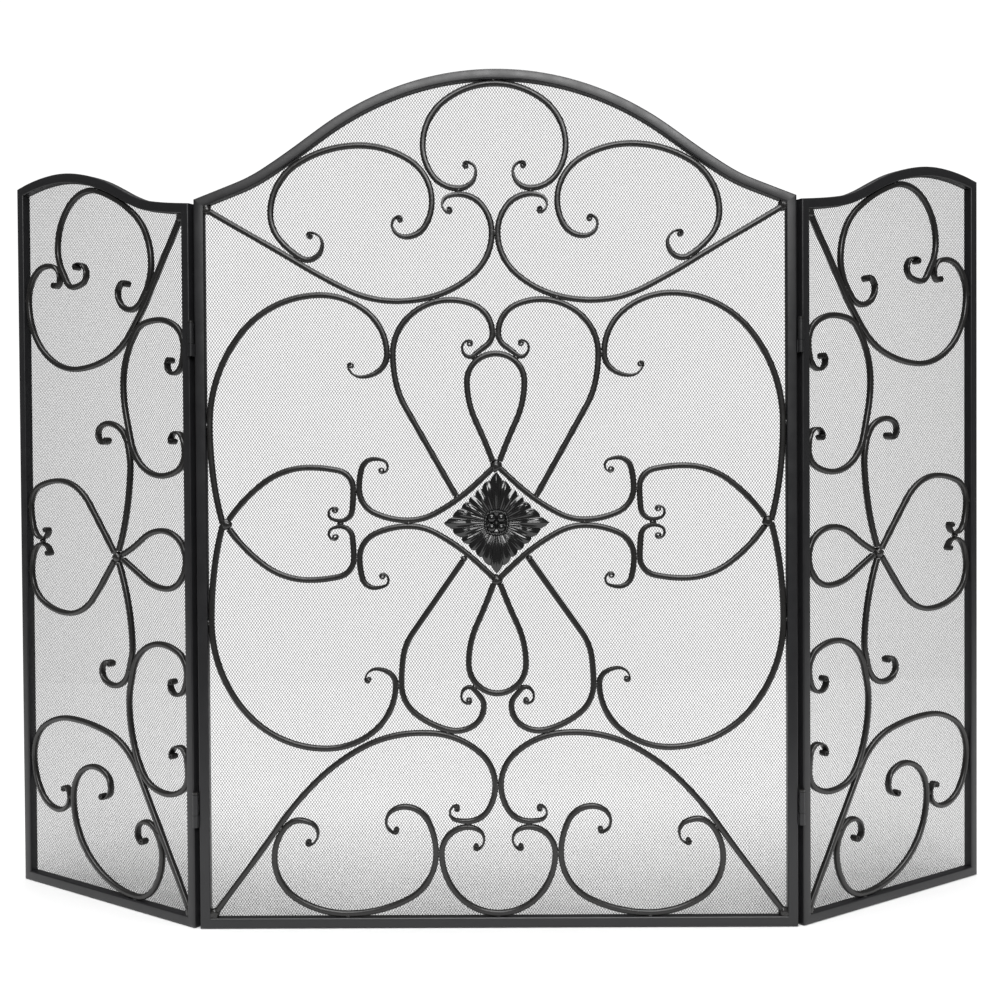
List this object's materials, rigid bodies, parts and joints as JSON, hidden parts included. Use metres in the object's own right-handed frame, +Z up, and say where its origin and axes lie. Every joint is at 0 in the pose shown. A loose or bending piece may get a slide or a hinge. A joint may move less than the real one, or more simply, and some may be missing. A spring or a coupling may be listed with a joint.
{
  "type": "fireplace screen",
  "caption": "Folding fireplace screen: an arched centre panel with hinged side panels, scrolled iron rods, a rosette and fine wire mesh in a square tube frame.",
  "frame": {"origin": "on the floor, under the middle of the centre panel's bottom rail", "axes": "+X along the centre panel to the viewer's right, the front faces -Y (the side panels fold back towards +Y at rest), +Z up"},
  "size_m": [1.0522, 0.171, 0.836],
  "materials": {
    "frame": "satin black paint on square steel tube",
    "scrolls": "satin black paint on bent steel rod",
    "mesh": "black painted fine wire mesh",
    "rosette": "gloss black paint on a stamped leaf rosette",
    "welds": "black paint over weld beads",
    "pins": "satin black paint on hinge pins"
  },
  "bodies": {
    "centre_panel": {"centre_bottom_rail": "frame", "centre_left_stile": "frame", "centre_right_stile": "frame", "centre_arch_rail": "frame", "centre_mesh": "mesh", "crown_scroll": "scrolls", "shoulder_scrolls": "scrolls", "upper_corner_scrolls": "scrolls", "upper_side_scrolls": "scrolls", "lower_side_scrolls": "scrolls", "heart_scrolls": "scrolls", "diamond_scrolls": "scrolls", "upper_ear_scrolls": "scrolls", "lower_ear_scrolls": "scrolls", "teardrop_scrolls": "scrolls", "lower_corner_scrolls": "scrolls", "foot_scrolls": "scrolls", "cradle_scroll": "scrolls", "rosette_leaf": "rosette", "rosette_boss": "rosette", "centre_welds": "welds", "left_hinge_sockets": "frame", "left_hinge_pins": "pins", "right_hinge_sockets": "frame", "right_hinge_pins": "pins"},
    "left_panel": {"left_hinge_stile": "frame", "left_outer_stile": "frame", "left_bottom_rail": "frame", "left_top_rail": "frame", "left_mesh": "mesh", "left_crest_scroll": "scrolls", "left_upper_corner_scroll": "scrolls", "left_hinge_side_scrolls": "scrolls", "left_s_scrolls": "scrolls", "left_heart_scrolls": "scrolls", "left_teardrop_scroll": "scrolls", "left_lower_corner_scroll": "scrolls", "left_foot_scroll": "scrolls", "left_welds": "welds", "left_hinge_barrels": "frame"},
    "right_panel": {"right_hinge_stile": "frame", "right_outer_stile": "frame", "right_bottom_rail": "frame", "right_top_rail": "frame", "right_mesh": "mesh", "right_crest_scroll": "scrolls", "right_upper_corner_scroll": "scrolls", "right_hinge_side_scrolls": "scrolls", "right_s_scrolls": "scrolls", "right_heart_scrolls": "scrolls", "right_teardrop_scroll": "scrolls", "right_lower_corner_scroll": "scrolls", "right_foot_scroll": "scrolls", "right_welds": "welds", "right_hinge_barrels": "frame"}
  },
  "joints": [
    {"name": "left_panel_hinge", "type": "hinge", "parent": "centre_panel", "child": "left_panel", "pos_m": [-0.296, -0.0055, 0], "axis": [0, 0, 1], "range_deg": [0, 213]},
    {"name": "right_panel_hinge", "type": "hinge", "parent": "centre_panel", "child": "right_panel", "pos_m": [0.296, -0.0055, 0], "axis": [0, 0, -1], "range_deg": [0, 213]}
  ]
}
